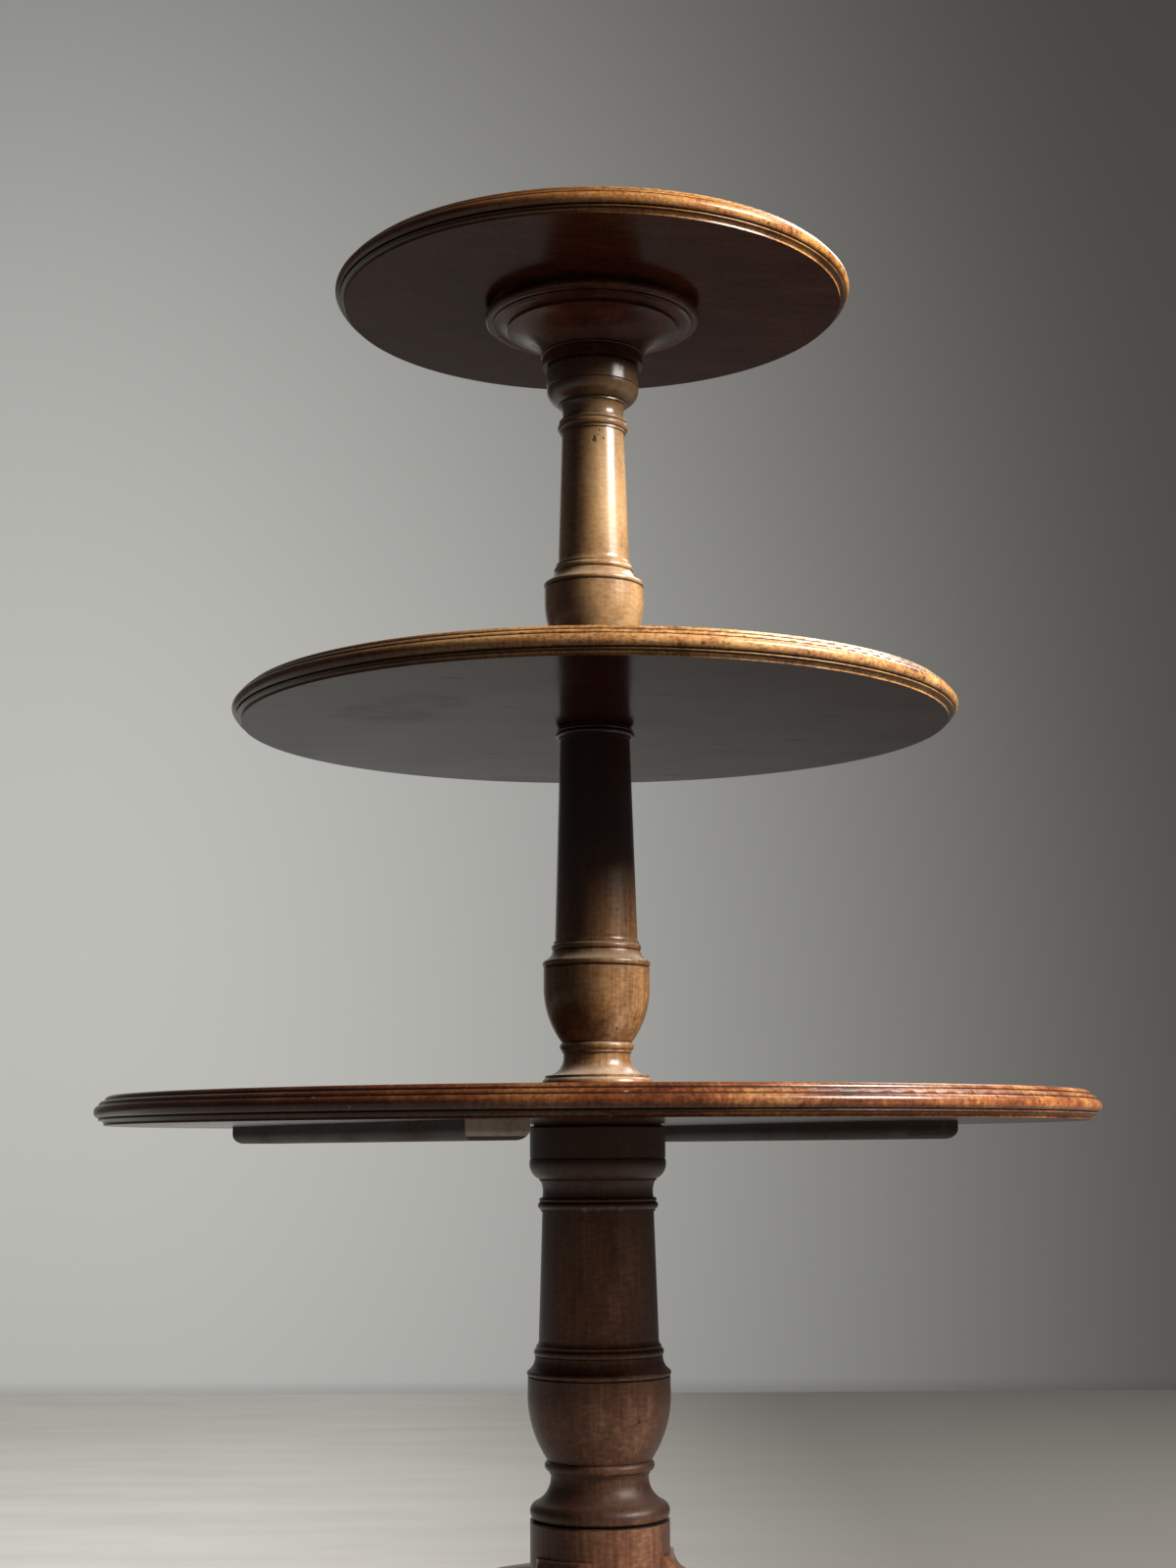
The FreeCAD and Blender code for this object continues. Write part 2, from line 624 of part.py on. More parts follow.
def build():
    """Every piece in its place, by name."""
    pillar_bottom = LEG_TOP_H - LEG_JOINT_H
    pillar = pillar_outline(pillar_bottom)
    pillar_seat = pillar.z
    bottom_tray_z = pillar_seat + WASHER_T
    middle = middle_outline(bottom_tray_z + TRAY_T + RUN_GAP)
    middle_seat = middle.z
    middle_tray_z = middle_seat + WASHER_T
    upper = upper_outline(middle_tray_z + TRAY_T + RUN_GAP)
    upper_seat = upper.z
    boss_line = boss_outline(upper_seat + WASHER_T)
    top_tray_z = boss_line.z

    through_l = WASHER_T + TRAY_T + RUN_GAP + SOCKET_DEPTH
    top_pin_l = WASHER_T + BOSS_SOCKET_DEPTH - RUN_GAP
    plate_places = plate_screw_places(pillar_bottom - PLATE_T)
    left_places = batten_screw_places(-1, BATTEN_LEFT_L, bottom_tray_z)
    right_places = batten_screw_places(1, BATTEN_RIGHT_L, bottom_tray_z)

    parts = {}
    post = pinned_section(pillar, PILLAR_PIN_R, through_l, 0)
    one_leg = leg(pillar_bottom)
    for name, angle in LEG_ANGLES.items():
        post = post.cut(spun(dovetail(pillar_bottom, GLUE_GAP), angle))
        parts[name] = drill(spun(one_leg, angle), PLATE_SCREW_L, plate_places)
    parts["pillar"] = drill(post, PLATE_SCREW_L, plate_places)
    parts["base_plate"] = drill(plate(pillar_bottom), PLATE_SCREW_L, plate_places)
    parts["base_screws"] = Part.makeCompound([screw(PLATE_SCREW_L, place) for place in plate_places])

    parts["bottom_washer"] = washer(PILLAR_ABACUS_R - ABACUS_EDGE, pillar_seat, PILLAR_PIN_R)
    parts["bottom_tray"] = drill(bored_tray(BOTTOM_TRAY_R, bottom_tray_z, PILLAR_PIN_R),
                                 BATTEN_SCREW_L, left_places + right_places)
    left = batten(-1, BATTEN_LEFT_L, bottom_tray_z)
    right = batten(1, BATTEN_RIGHT_L, bottom_tray_z)
    parts["batten_left"] = drill(left, BATTEN_SCREW_L, left_places)
    parts["batten_right"] = drill(right, BATTEN_SCREW_L, right_places)
    parts["batten_screws"] = Part.makeCompound(
        [screw(BATTEN_SCREW_L, place) for place in left_places + right_places])

    astragal_top_r = middle.r
    parts["middle_column"] = pinned_section(middle, MIDDLE_PIN_R, through_l, PILLAR_PIN_R + GLUE_GAP)
    parts["middle_washer"] = washer(astragal_top_r, middle_seat, MIDDLE_PIN_R)
    parts["middle_tray"] = bored_tray(MIDDLE_TRAY_R, middle_tray_z, MIDDLE_PIN_R)

    parts["upper_column"] = pinned_section(upper, UPPER_PIN_R, top_pin_l, MIDDLE_PIN_R + GLUE_GAP)
    parts["top_washer"] = washer(UPPER_ABACUS_R - ABACUS_EDGE, upper_seat, UPPER_PIN_R)
    parts["top_boss"] = boss(boss_line)
    parts["top_tray"] = top_tray(top_tray_z)
    return parts


os.makedirs("parts", exist_ok=True)
for node, shape in build().items():
    shape.exportStep("parts/" + node + ".step")
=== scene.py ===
import math

import bpy
from mathutils import Euler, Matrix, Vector


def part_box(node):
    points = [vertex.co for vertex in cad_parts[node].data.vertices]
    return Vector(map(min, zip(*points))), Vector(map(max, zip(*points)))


# Three-tier dumb waiter in old polished mahogany. Metres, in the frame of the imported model.

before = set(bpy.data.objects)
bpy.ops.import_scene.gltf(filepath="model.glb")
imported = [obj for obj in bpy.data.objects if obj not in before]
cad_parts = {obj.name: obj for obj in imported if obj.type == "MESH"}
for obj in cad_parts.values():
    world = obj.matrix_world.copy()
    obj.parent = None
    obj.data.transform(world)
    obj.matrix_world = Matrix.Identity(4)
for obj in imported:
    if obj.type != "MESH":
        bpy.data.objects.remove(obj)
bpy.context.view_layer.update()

# View of the photograph: angles in degrees, the lens and its sensor in millimetres
CAMERA_PLACE = (0.0, -1.447, 0.456)
CAMERA_PITCH = 8.94
CAMERA_YAW = 0.18
CAMERA_ROLL = -0.35
CAMERA_LENS = 53.2
CAMERA_SENSOR = 36.0

# Lights: azimuth is counted from the camera's side towards the right; a mirrored one shows in polished faces
LIT_HEIGHT = 0.75
LIGHTS = {
    "key_light": dict(azimuth=68.0, elevation=32.5, distance=3.09, size=(1.4, 1.2), power=240.0,
                      colour=(1.0, 0.95, 0.88), mirrored=True),
    "back_light": dict(azimuth=150.0, elevation=38.0, distance=2.8, size=(1.4, 1.0), power=24.0,
                       colour=(0.96, 0.97, 1.0), mirrored=True),
    "fill_light": dict(azimuth=-128.0, elevation=28.0, distance=2.8, size=(1.6, 1.2), power=18.0,
                       colour=(0.97, 0.98, 1.0), mirrored=False),
}
AMBIENT = 0.003
SKY_GREY = 0.08

# Stage: the wall glows softly at the left and fades to the right and the top, the floor fades likewise
FLOOR_SIZE = 14.0
WALL_Y = 3.05
WALL_H = 7.0
WALL_COLOUR = (0.045, 0.045, 0.043, 1.0)
WALL_TINT = (1.02, 1.015, 0.965, 1.0)
WALL_DIM = 0.02
WALL_GLOW = 0.445
# Painted shadow along the foot of the wall: its height and the share of the glow left in it
WALL_FOOT_SHADE_H = 0.03
WALL_FOOT_SHADE_SHARE = 0.75
GLOW_HEIGHT = 0.885
GLOW_REACH = 2.35
WALL_FADE = (-0.93, 1.54)
WALL_FAR_LEFT = (-2.1, -1.2)
WALL_FAR_LEFT_SHARE = 0.08
FADE_TILT = 0.127
FLOOR_COLOUR = (0.19, 0.184, 0.169)
FLOOR_BOUNCE = ((0.32, 0.30, 0.275), (0.03, 0.029, 0.027))
BOUNCE_REACH = (0.45, 1.1)
FLOOR_TINT = (1.03, 1.0, 0.91, 1.0)
FLOOR_FADE = (-0.55, 0.5)
FLOOR_NEAR_Y = 1.0
FLOOR_NEAR_GLOW = 0.40
FLOOR_FRONT_Y = (0.2, 1.0)
FLOOR_FRONT_SHARE = 0.6
FLOOR_FAR_Y = 2.9
FLOOR_FAR_GLOW = 0.23
FLOOR_DIM = 0.05
FLOOR_CLOUD_STEP = (0.3, 0.7, 0.92, 1.08)

MM = 0.001
HOLLOW_SAMPLES = 8

# Noise: size across the grain in millimetres, how far it is drawn out along it, detail, roughness, distortion
CLOUD = (24.0, 3.0, 3.0, 0.55)
FIGURE = (5.0, 0.4, 2.0)
STREAK = (2.4, 16.0, 4.0, 0.6, 0.2)
FIBRE = (0.55, 40.0, 2.0, 0.6)
PORE = (0.6, 10.0, 1.0)
CHAFE = (9.0, 0.5, 4.0, 0.65)
SMUDGE = (60.0, 1.3, 5.0, 0.55)
BOARD_SMUDGE = (60.0, 1.6, 4.0, 0.5)
GRIT = (11.0, 1.5, 5.0, 0.65)
FLECK = (1.7, 2.2, 3.0, 0.65)
BLOTCH = (3.2, 2.0, 4.0, 0.65)
RUST = (9.0, 1.0, 5.0, 0.65)
BRUSHING = (0.35, 30.0, 2.0)
METAL_PITS = (0.8, 1.0, 3.0, 0.6)
FLOOR_CLOUD = (90.0, 4.0, 4.0, 0.6)
LATHE_LINES = (0.7, 3.0, 0.7)

# Soft steps: the values at which they start and end, and the results there if they aren't 0 and 1
PORE_STEP = (0.62, 0.71)
CHAFE_STEP = (0.46, 0.62)
GRIT_STEP = (0.2, 0.6)
FLECK_STEP = (0.5, 0.66)
BLOTCH_STEP = (0.58, 0.72)
LINE_STEP = (0.45, 0.75)
RIM_LINE_STEP = (0.5, 0.72)
SHEEN_STEP = (0.35, 0.7)
SAWN_RUB_STEP = (0.45, 0.6)
DUST_AND_TOP_LIGHT_CLOUD_STEP = (0.3, 0.6, 0.5, 1.0)

# Hollows and edges: reach in millimetres and the soft step
# Wide hollows get painted shade
WIDE_SHADED_HOLLOW = (16.0, 0.12, 0.45)
GROOVE = (3.5, 0.32, 0.65)
RIM_QUIRK = (3.0, 0.45, 0.75)
SAWN_CORNER = (6.0, 0.4, 0.8)
TURNED_EDGE = (2.2, 0.3, 0.75)
SAWN_EDGE = (3.5, 0.25, 0.7)

# Scattered marks: how far they are drawn out, spacing and size in millimetres, and the share of places marked
NICK_SPACING = 11.0
TURNED_NICKS = (1.4, NICK_SPACING, 1.1, 0.2)
UNDER_NICKS = (2.5, NICK_SPACING, 1.2, 0.25)
UNDER_GLINT_SPECKS = (1.5, 2 * NICK_SPACING, 1.0, 0.2)
UNDER_SCRATCHES = (22.0, 7.0, 0.5, 0.4)
RIM_CHIPS = (2.0, NICK_SPACING / 2, 0.9, 0.3)
RIM_NICKS = (1.6, NICK_SPACING / 1.5, 1.3, 0.35)
BOARD_NICKS = (2.0, NICK_SPACING, 1.2, 0.3)
BOARD_SCRATCHES = (22.0, 7.0, 0.4, 0.35)
SAWN_NICKS = (1.5, NICK_SPACING, 1.6, 0.25)
SAWN_SCRATCHES = (22.0, 7.0, 0.5, 0.3)

# Angles of marks that run across the grain
UNDER_SCRATCH_ANGLE = 24.0
BOARD_SCRATCH_ANGLE = -30.0
FLECK_ANGLE = 35.0
BRUSHING_ANGLE = 40.0

# Dirty lines along the rims: millimetres above the underside
RIM_LINES = (2.8, 4.25, 12.0, 14.9)
RIM_LINE_HALF = 0.9

# Make-up of the wood's tone: shares of the clouds with the streaks, of the figure and of the fibres
CLOUD_AND_STREAK_SHARE = 0.68
FIGURE_SHARE = 0.25
FIBRE_SHARE = 0.07

# Tones at which the three colours of a wood are reached
TONE_STOPS = (0.36, 0.5, 0.64)

# Share of the streaks in the tone of each part of a tray
UNDER_STREAKS = 0.35
RIM_STREAKS = 0.25
BOARD_STREAKS = 0.5

# Wood tones: deep, body and gold
COLUMN_TONES = ((0.23, 0.112, 0.046), (0.46, 0.265, 0.115), (0.62, 0.405, 0.205))
MIDDLE_TONES = ((0.09, 0.034, 0.012), (0.28, 0.136, 0.052), (0.48, 0.272, 0.112))
PILLAR_TONES = ((0.072, 0.022, 0.010), (0.215, 0.090, 0.045), (0.40, 0.220, 0.130))
BOSS_TONES = ((0.030, 0.008, 0.005), (0.110, 0.032, 0.016), (0.22, 0.076, 0.036))
TOP_UNDER_TONES = ((0.036, 0.010, 0.006), (0.085, 0.024, 0.013), (0.13, 0.044, 0.024))
UNDER_TONES = ((0.020, 0.005, 0.003), (0.048, 0.011, 0.007), (0.080, 0.024, 0.014))
TOP_RIM_TONES = ((0.09, 0.024, 0.008), (0.60, 0.255, 0.072), (0.90, 0.510, 0.175))
MIDDLE_RIM_TONES = ((0.08, 0.025, 0.009), (0.68, 0.335, 0.122), (0.92, 0.570, 0.235))
BOTTOM_RIM_TONES = ((0.06, 0.014, 0.005), (0.37, 0.120, 0.040), (0.82, 0.400, 0.140))
LEG_TONES = ((0.050, 0.014, 0.006), (0.150, 0.054, 0.022), (0.27, 0.115, 0.050))
BOARD_TONES = ((0.020, 0.006, 0.003), (0.055, 0.020, 0.009), (0.11, 0.046, 0.020))
BATTEN_TONES = ((0.012, 0.006, 0.004), (0.031, 0.017, 0.012), (0.07, 0.044, 0.032))
# Pale tones that paint the key light on the left batten's end
LIT_BATTEN_END_TONES = ((0.22, 0.17, 0.135), (0.46, 0.38, 0.31), (0.60, 0.51, 0.43))

# Colours laid over the wood
PORE_COLOUR = (0.020, 0.008, 0.005)
DIRT_COLOUR = (0.010, 0.006, 0.004)
# Dark of the painted shade laid on shaded sides, flanks, wide hollows and under the trays
PAINTED_SHADE_COLOUR = (0.032, 0.012, 0.007)
# Pale scuffs, chips and scratches, also painted highlights on edges and painted glints on specks
SCUFF_AND_GLINT_COLOUR = (0.36, 0.28, 0.21)
# Pale dust and painted top light on faces that look up
DUST_AND_TOP_LIGHT_COLOUR = (0.56, 0.47, 0.36)

# How much of a colour is laid over the wood
PORE_SHARE = 0.2
LINE_SHARE = 0.08
WIDE_HOLLOW_SHADE_SHARE = 0.7
DIRT_SHARE = 0.9
SAWN_DIRT_SHARE = 0.8
TURNED_NICK_SHARE = 0.75
UNDER_MARK_SHARE = 0.8
FLAT_NICK_SHARE = 0.7
SAWN_NICK_SHARE = 0.6
CHIP_SHARE = 0.7
BOARD_SCRATCH_SHARE = 0.35
SAWN_SCRATCH_SHARE = 0.4
SAWN_RUB_SHARE = 0.5
RIM_SHADE_SHARE = 0.9
RIM_LINE_SHARE = 0.3
FLECK_SHARE = 0.55
BLOTCH_SHARE = 0.5

# Roughness: that of each bare finish, and what its layers add in the order in which the finish names them
UNDER_GLOSS = 0.08
UNDER_DULL = (0.2, 0.08, 0.6, 0.6)
RIM_GLOSS = 0.2
RIM_DULL = (0.12, 0.14, 0.08)
BOARD_GLOSS = 0.26
BOARD_DULL = (0.12, 0.12, 0.15)
TURNED_DULL = (0.12, 0.1, 0.15)
SAWN_DULL = (0.16, 0.1)

# Relief: depth of each layer in millimetres, in the same way
TURNED_DEPTHS = (0.05, 0.012, -0.03, -0.3)
UNDER_DEPTHS = (0.006, -0.4)
RIM_DEPTHS = (0.05, 0.012, -0.012, -0.25, -0.1)
BOARD_DEPTHS = (0.03, -0.03, -0.15, -0.03)
SAWN_DEPTHS = (0.15, 0.02, -0.04, -0.25)

# Single marks of use: points in metres and the reach of each in millimetres
SHAFT_PITS = (
    ((0.0006, -0.0203, 0.9028), 1.9),
    ((0.0008, -0.0203, 0.9046), 1.5),
    ((0.0066, -0.0193, 0.9042), 1.0),
    ((0.0040, -0.0199, 0.9095), 0.9),
    ((0.0032, -0.0200, 0.9062), 0.8),
)
PILLAR_PITS = (
    ((0.0235, -0.0355, 0.296), 1.6),
    ((0.022, -0.0365, 0.2945), 1.1),
)
PILLAR_CHIPS = (
    ((-0.009, -0.0345, 0.4195), 3.6),
    ((-0.002, -0.0357, 0.4190), 4.4),
    ((0.007, -0.0350, 0.4198), 3.2),
    ((0.014, -0.0325, 0.4200), 2.6),
    ((0.018, -0.0312, 0.3830), 1.8),
)
UNDER_PATCHES = (
    ((-0.130, -0.055, 0.7192), 44.0),
    ((-0.102, -0.092, 0.7192), 34.0),
)

# Painted shade on the columns under the trays and on the pillar's foot mouldings: heights in metres and the
# share of dark at each
PILLAR_HEIGHT_SHADE = ((0.236, 0.0), (0.242, 0.75), (0.255, 0.55), (0.264, 0.1), (0.298, 0.0), (0.320, 0.3),
                (0.340, 0.45), (0.350, 0.1), (0.380, 0.25), (0.450, 0.9))
MIDDLE_HEIGHT_SHADE = ((0.56, 0.0), (0.65, 0.95))
UPPER_HEIGHT_SHADE = ((0.900, 0.0), (0.945, 0.6))

# Where painted shade darkens the column's left side, where painted shade darkens its flanks and back but not
# its front, and the slopes that pale dust and painted top light lie on
SHADED_SIDE_X = (-0.014, 0.012)
SHADED_FLANKS_Y = (-0.040, -0.010)
DUST_AND_TOP_LIGHT_SLOPE = (0.25, 0.95)

# Leather and metal
LEATHER_TONES = ((0.0, (0.060, 0.030, 0.016)), (0.7, (0.020, 0.010, 0.006)))
PEBBLES_PER_MM = 1.2
PEBBLE_SHINE = (0.1, 0.7, 0.5, 0.75)
PEBBLE_DEPTH = -0.08
RUST_STEP = (0.62, 0.74)
BRUSHING_STEP = (0.5, 0.7)
BRUSHING_SHARE = 0.5
METAL_SHINE = (0.35, 0.7, 0.32, 0.72)
METAL_PIT_DEPTH = 0.06
RUST_COVER = 0.85

UPRIGHT = (0.0, 0.0, 0.0)

# Turned pieces and the settings of their finish
TURNED = {
    "upper_column": dict(name="upper_wood", tones=COLUMN_TONES, streaks=0.12, gloss=0.38, polish=0.2,
                         pale_wear_and_glint=0.5, height_shade=UPPER_HEIGHT_SHADE, painted_side_shade=0.48, dust_and_top_light=0.5, pits=SHAFT_PITS),
    "middle_column": dict(name="middle_wood", tones=MIDDLE_TONES, streaks=0.35, gloss=0.38, polish=0.26,
                          pale_wear_and_glint=0.6, height_shade=MIDDLE_HEIGHT_SHADE, painted_side_shade=0.5, dust_and_top_light=0.6, coat_ior=1.42),
    "pillar": dict(name="pillar_wood", tones=PILLAR_TONES, streaks=0.3, gloss=0.42, polish=0.42, pale_wear_and_glint=0.6,
                   height_shade=PILLAR_HEIGHT_SHADE, painted_side_shade=0.15, painted_flank_shade=0.75, dust_and_top_light=0.1, pits=PILLAR_PITS,
                   chips=PILLAR_CHIPS, coat_ior=1.34),
    "top_boss": dict(name="boss_wood", tones=BOSS_TONES, streaks=0.2, gloss=0.4, polish=0.14, pale_wear_and_glint=0.2,
                     coat_ior=1.17),
}

# Trays: angle of the grain, tones, and where painted shade on the rim gives way from dark to pale, in shares
# of its radius
TRAYS = {
    "top_tray": dict(angle=12.0, rim_tones=TOP_RIM_TONES, under_tones=TOP_UNDER_TONES, light_falloff=(-0.6, 0.8)),
    "middle_tray": dict(angle=-8.0, rim_tones=MIDDLE_RIM_TONES, under_tones=UNDER_TONES, light_falloff=(-0.9, 0.4)),
    "bottom_tray": dict(angle=27.0, rim_tones=BOTTOM_RIM_TONES, under_tones=UNDER_TONES, light_falloff=(-0.6, 0.95)),
}

LEG_ANGLE = {"leg_right": -4.0, "leg_back": 116.0, "leg_front": 236.0}
LEG_SLOPE = 35.0
BATTEN_ANGLE = 27.0
# The left batten's end gets pale tones of painted light, the right one the sides' tones
END_TONES_WITH_PAINTED_LIGHT = {"batten_left": LIT_BATTEN_END_TONES, "batten_right": BATTEN_TONES}
WASHERS = ("bottom_washer", "middle_washer", "top_washer")
SCREWS = ("base_screws", "batten_screws")

# Sorting of faces: flat ones by their normal and height, sawn ends by their normal
FLAT = 0.99
SKIN = 0.0002
END_FACING = 0.75


class Finish:
    """A node tree in the making, with short calls for the nodes that the finishes share."""

    def __init__(self, owner):
        owner.use_nodes = True
        self.owner = owner
        self.nodes = owner.node_tree.nodes
        self.links = owner.node_tree.links
        self.place = self.nodes.new("ShaderNodeTexCoord").outputs["Object"]

    def feed(self, socket, value):
        """Gives a socket a constant or another node's output."""
        if isinstance(value, bpy.types.NodeSocket):
            self.links.new(value, socket)
        else:
            socket.default_value = value

    def node(self, kind, inputs, **settings):
        """Adds a node with its settings and its inputs."""
        made = self.nodes.new(kind)
        for name, value in settings.items():
            setattr(made, name, value)
        for name, value in inputs.items():
            self.feed(made.inputs[name], value)
        return made

    def surface(self, **inputs):
        """Sets the shader's own sockets, named with underscores."""
        shader = self.nodes["Principled BSDF"]
        for name, value in inputs.items():
            self.feed(shader.inputs[name.replace("_", " ")], value)
        return self.owner

    def calc(self, operation, *values):
        """Result of a sum on some values."""
        made = self.nodes.new("ShaderNodeMath")
        made.operation = operation
        for socket, value in zip(made.inputs, values):
            self.feed(socket, value)
        return made.outputs["Value"]

    def total(self, start, values, weights):
        """A start value and some values, each times its weight, added up."""
        result = start
        for value, weight in zip(values, weights):
            result = self.calc("MULTIPLY_ADD", value, weight, result)
        return result

    def split(self):
        """Place as three values, in metres."""
        return self.node("ShaderNodeSeparateXYZ", {"Vector": self.place}).outputs

    def facing_up(self):
        """1 on faces that look straight up, -1 on those that look down."""
        normal = self.nodes.new("ShaderNodeTexCoord").outputs["Normal"]
        return self.node("ShaderNodeSeparateXYZ", {"Vector": normal}).outputs["Z"]

    def along(self, turn, stretch):
        """Place in millimetres, its third axis turned along the grain and drawn out."""
        inputs = {"Vector": self.place, "Rotation": turn, "Scale": (MM, MM, MM * stretch)}
        return self.node("ShaderNodeMapping", inputs, vector_type="TEXTURE").outputs["Vector"]

    def noise(self, place, size, detail, roughness=0.5, distortion=0.0):
        """Cloudy values about one half, with features of a size in millimetres."""
        inputs = {"Vector": place, "Scale": 1 / size, "Detail": detail, "Roughness": roughness,
                  "Distortion": distortion}
        return self.node("ShaderNodeTexNoise", inputs).outputs["Fac"]

    def grain(self, kind, turn):
        """One of the kinds of noise, drawn out along a turn."""
        size, stretch, *rest = kind
        return self.noise(self.along(turn, stretch), size, *rest)

    def marks(self, kind, turn):
        """One of the kinds of scattered marks, drawn out along a turn: 1 in a mark and 0 outside."""
        stretch, spacing, size, share = kind
        inputs = {"Vector": self.along(turn, stretch), "Scale": 1 / spacing}
        net = self.node("ShaderNodeTexVoronoi", inputs).outputs
        mark = self.rise(net["Distance"], size / spacing / 2, size / spacing, 1.0, 0.0)
        pick = self.node("ShaderNodeSeparateColor", {"Color": net["Color"]}).outputs["Red"]
        return self.calc("MULTIPLY", mark, self.calc("LESS_THAN", pick, share))

    def spots(self, points):
        """1 at each of some single marks, 0 elsewhere."""
        result = 0.0
        for point, reach in points:
            far = self.node("ShaderNodeVectorMath", {0: self.place, 1: point}, operation="DISTANCE")
            spot = self.rise(far.outputs["Value"], reach * MM / 2, reach * MM, 1.0, 0.0)
            result = self.calc("MAXIMUM", result, spot)
        return result

    def rise(self, value, low, high, start=0.0, end=1.0):
        """A soft step from start to end as the value goes from low to high."""
        inputs = {"Value": value, "From Min": low, "From Max": high, "To Min": start, "To Max": end}
        return self.node("ShaderNodeMapRange", inputs, interpolation_type="SMOOTHSTEP").outputs["Result"]

    def ramp(self, value, stops):
        """A colour that follows stops of value and colour."""
        made = self.node("ShaderNodeValToRGB", {"Fac": value})
        points = made.color_ramp.elements
        while len(points) < len(stops):
            points.new(1.0)
        for point, (position, colour) in zip(points, stops):
            point.position = position
            point.color = (*colour, 1.0)
        return made.outputs["Color"]

    def by_height(self, stops):
        """A value that follows stops of height and value, straight from one to the next."""
        bottom = stops[0][0]
        reach = stops[-1][0] - bottom
        lift = self.calc("DIVIDE", self.calc("SUBTRACT", self.split()["Z"], bottom), reach)
        greys = [((height - bottom) / reach, (value, value, value)) for height, value in stops]
        return self.ramp(lift, greys)

    def mix(self, factor, first, second, share=1.0):
        """Lays a share of the second colour over the first, where the factor is 1."""
        made = self.nodes.new("ShaderNodeMixRGB")
        self.feed(made.inputs["Fac"], self.calc("MULTIPLY", factor, share))
        for name, value in (("Color1", first), ("Color2", second)):
            self.feed(made.inputs[name], (*value, 1.0) if isinstance(value, tuple) else value)
        return made.outputs["Color"]

    def enclosed(self, kind, inside):
        """How far faces close in around a place, outside the solid or inside it."""
        reach, *step = kind
        made = self.node("ShaderNodeAmbientOcclusion", {"Distance": reach * MM}, samples=HOLLOW_SAMPLES,
                         only_local=True, inside=inside)
        return self.rise(self.calc("SUBTRACT", 1.0, made.outputs["AO"]), *step)

    def hollow(self, kind):
        """1 in grooves and inner corners, 0 on open faces."""
        return self.enclosed(kind, False)

    def edge(self, kind):
        """1 on outer edges, 0 on open faces."""
        return self.enclosed(kind, True)

    def relief(self, heights, depths):
        """Bumps on top of one another: height values and their depths in millimetres."""
        normal = None
        for height, depth in zip(heights, depths):
            inputs = {"Height": height, "Distance": abs(depth) * MM, "Strength": 1.0}
            if normal:
                inputs["Normal"] = normal
            normal = self.node("ShaderNodeBump", inputs, invert=depth < 0).outputs["Normal"]
        return normal

    def seen(self):
        """1 for what the camera sees, also in reflections and through glass, and 0 for all other light."""
        path = self.nodes.new("ShaderNodeLightPath").outputs
        direct = self.calc("MAXIMUM", path["Is Camera Ray"], path["Is Glossy Ray"])
        return self.calc("MAXIMUM", direct, path["Is Transmission Ray"])


class Wood(Finish):
    """Wood along a turn of the grain: its colour so far, clouds, fibres and pores."""

    def __init__(self, name, turn, tones, streaks):
        """Streaks is the share of the long grain in the colour."""
        super().__init__(bpy.data.materials.new(name))
        self.deep, _, self.gold = tones
        self.cloud = self.grain(CLOUD, turn)
        self.fibre = self.grain(FIBRE, turn)
        self.pore = self.rise(self.grain(PORE, turn), *PORE_STEP)
        layers = (self.cloud, self.grain(FIGURE, turn), self.grain(STREAK, turn), self.fibre)
        shares = (CLOUD_AND_STREAK_SHARE - streaks, FIGURE_SHARE, streaks, FIBRE_SHARE)
        tone = self.total(0.0, layers, shares)
        self.colour = self.ramp(tone, tuple(zip(TONE_STOPS, tones)))
        self.lay(self.pore, PORE_COLOUR, PORE_SHARE)

    def lay(self, factor, colour, share=1.0):
        """Lays a share of a colour over the wood, where the factor is 1."""
        self.colour = self.mix(factor, self.colour, colour, share)

    def finished(self, **inputs):
        """The material, with its colour and the shader's other sockets set."""
        return self.surface(Base_Color=self.colour, **inputs)

    def lathe_lines(self):
        """Fine rings that the lathe and the polishing cloth leave: values by height and radius alone."""
        level = (1 / MM, 1 / MM, 0)
        flat = self.node("ShaderNodeVectorMath", {0: self.place, 1: level}, operation="MULTIPLY")
        radius = self.node("ShaderNodeVectorMath", {0: flat.outputs["Vector"]}, operation="LENGTH")
        height = self.calc("DIVIDE", self.split()["Z"], MM)
        place = self.node("ShaderNodeCombineXYZ", {"X": radius.outputs["Value"], "Z": height})
        return self.noise(place.outputs["Vector"], *LATHE_LINES)

    def dirt_lines(self, bottom):
        """1 in the fine level lines of a rim above a tray's underside, 0 elsewhere."""
        result = 0.0
        for height in RIM_LINES:
            off = self.calc("ABSOLUTE", self.calc("SUBTRACT", self.split()["Z"], bottom + height * MM))
            result = self.calc("MAXIMUM", result, self.rise(off, 0.0, RIM_LINE_HALF * MM, 1.0, 0.0))
        return result


# Woods


def grain_of(angle, slope=0.0):
    """Turn that lays the grain level along an angle, dipping by a slope."""
    return (0.0, math.radians(90.0 + slope), math.radians(angle))


